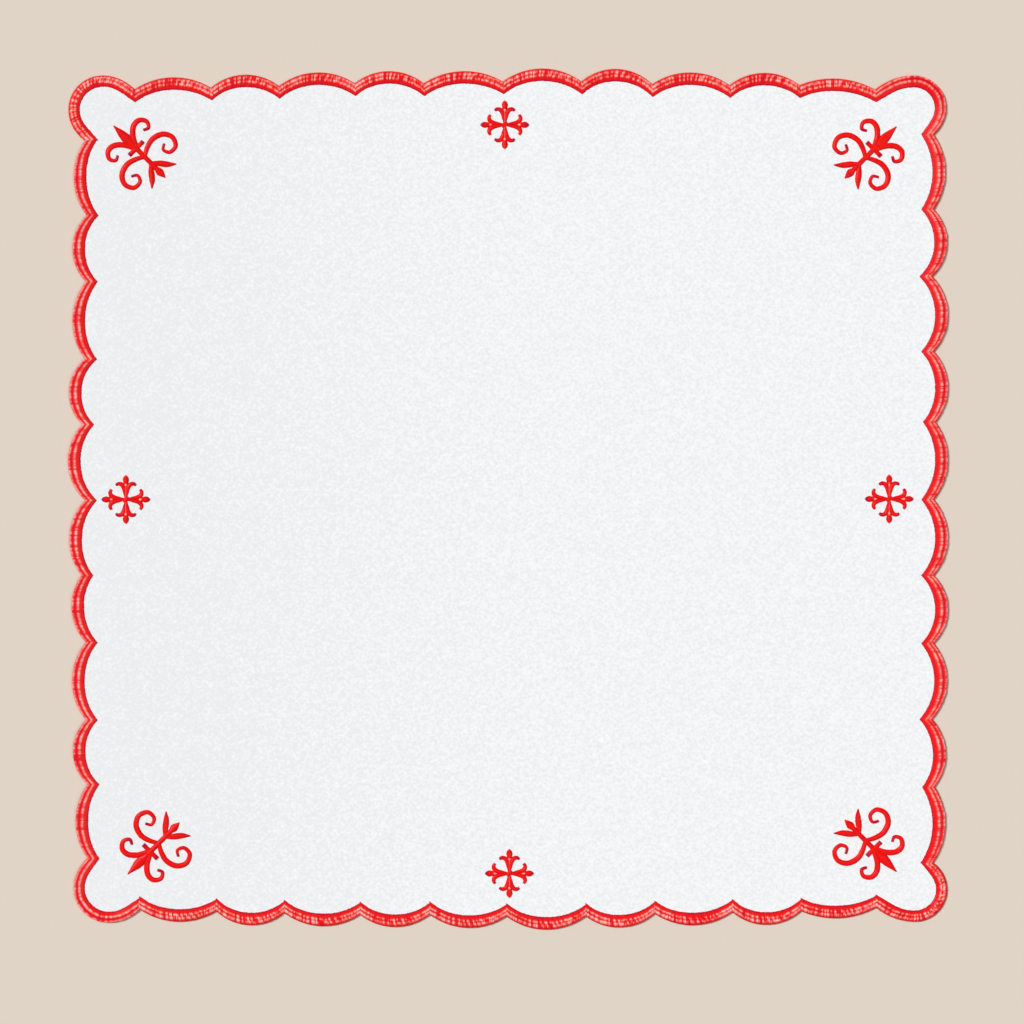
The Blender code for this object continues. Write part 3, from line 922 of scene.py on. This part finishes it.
SPRIG_PAIRS = {
    "collar": [
        Station(across=0.0, along=2.6, width=2.6),
        Station(across=5.4, along=2.6, width=2.6),
    ],
    "petal": [
        Station(across=0.9, along=3.0, width=2.2),
        Station(across=3.6, along=8.8, width=3.1),
        Station(across=7.8, along=12.6, width=3.2),
        Station(across=12.3, along=12.8, width=2.9),
        Station(across=15.0, along=9.3, width=2.4),
        Station(across=13.2, along=6.0, width=1.9),
        Station(across=10.4, along=7.0, width=1.5),
    ],
    "scroll": [
        Station(across=0.6, along=-3.8, width=2.2),
        Station(across=5.0, along=-1.4, width=2.8),
        Station(across=10.4, along=-0.2, width=3.1),
        Station(across=16.2, along=-2.2, width=3.1),
        Station(across=19.0, along=-7.2, width=2.8),
        Station(across=16.8, along=-12.2, width=2.5),
        Station(across=12.0, along=-12.4, width=2.1),
        Station(across=10.3, along=-8.8, width=1.7),
        Station(across=13.0, along=-6.8, width=1.4),
    ],
    "leaf": [
        Station(across=0.6, along=-9.5, width=1.6),
        Station(across=3.5, along=-13.0, width=3.4),
        Station(across=6.4, along=-16.6, width=3.1),
        Station(across=9.6, along=-19.6, width=0.6),
    ],
}
sprig_strokes = [rows for pair in SPRIG_PAIRS.values() for rows in (pair, mirrored(pair))]
sprig_strokes += SPRIG_AXIS.values()
sprig_strokes = [Stroke(rows, PLAIN_GLEAM, layer % 3) for layer, rows in enumerate(sprig_strokes)]
for spot in SPRIGS:
    place_motif(spot, sprig_strokes, draw, red_satin)

# The studio: a plain pale floor, soft light from the left and a little from the right, and a
# camera that looks straight down, as the photograph does.
FLOOR_SIZE = 6.0
FLOOR_COLOUR = (0.70, 0.62, 0.53, 1.0)
CAMERA_PLACE = (0.0022, -0.0073, 1.6)
VIEW_WIDTH = 0.5805
SENSOR_WIDTH = 36.0
# A lamp's light comes from this direction, over this angle in degrees.
Lamp = namedtuple("Lamp", "name towards angle strength")
LAMPS = [
    Lamp(name="key", towards=(-0.55, 0.30, 0.78), angle=16, strength=2.7),
    Lamp(name="fill", towards=(0.50, -0.25, 0.83), angle=30, strength=0.77),
]
WORLD_LIGHT = 0.18


def lay_floor():
    bm = bmesh.new()
    bmesh.ops.create_grid(bm, x_segments=1, y_segments=1, size=FLOOR_SIZE / 2)
    mesh = bpy.data.meshes.new("floor")
    bm.to_mesh(mesh)
    bm.free()
    paper = Finish("plain_floor", {"Roughness": 0.9, "Base Color": FLOOR_COLOUR})
    mesh.materials.append(paper.material)
    floor = bpy.data.objects.new("floor", mesh)
    bpy.context.scene.collection.objects.link(floor)


def hang_lamp(lamp):
    light = bpy.data.lights.new(lamp.name, "SUN")
    light.angle = math.radians(lamp.angle)
    light.energy = lamp.strength
    hung = bpy.data.objects.new(lamp.name, light)
    hung.location = lamp.towards
    hung.rotation_euler = Vector(lamp.towards).to_track_quat("Z", "Y").to_euler()
    bpy.context.scene.collection.objects.link(hung)


def set_camera():
    data = bpy.data.cameras.new("camera")
    data.sensor_width = SENSOR_WIDTH
    data.lens = SENSOR_WIDTH * (CAMERA_PLACE[2] - CLOTH_TOP * MM) / VIEW_WIDTH
    camera = bpy.data.objects.new("camera", data)
    camera.location = CAMERA_PLACE
    bpy.context.scene.collection.objects.link(camera)
    bpy.context.scene.camera = camera


lay_floor()
for lamp in LAMPS:
    hang_lamp(lamp)
world = bpy.data.worlds.new("studio")
world.use_nodes = True
world.node_tree.nodes["Background"].inputs["Strength"].default_value = WORLD_LIGHT
world.node_tree.nodes["Background"].inputs["Color"].default_value = (1.0, 1.0, 1.0, 1.0)
bpy.context.scene.world = world
bpy.context.scene.view_settings.view_transform = "Standard"
set_camera()
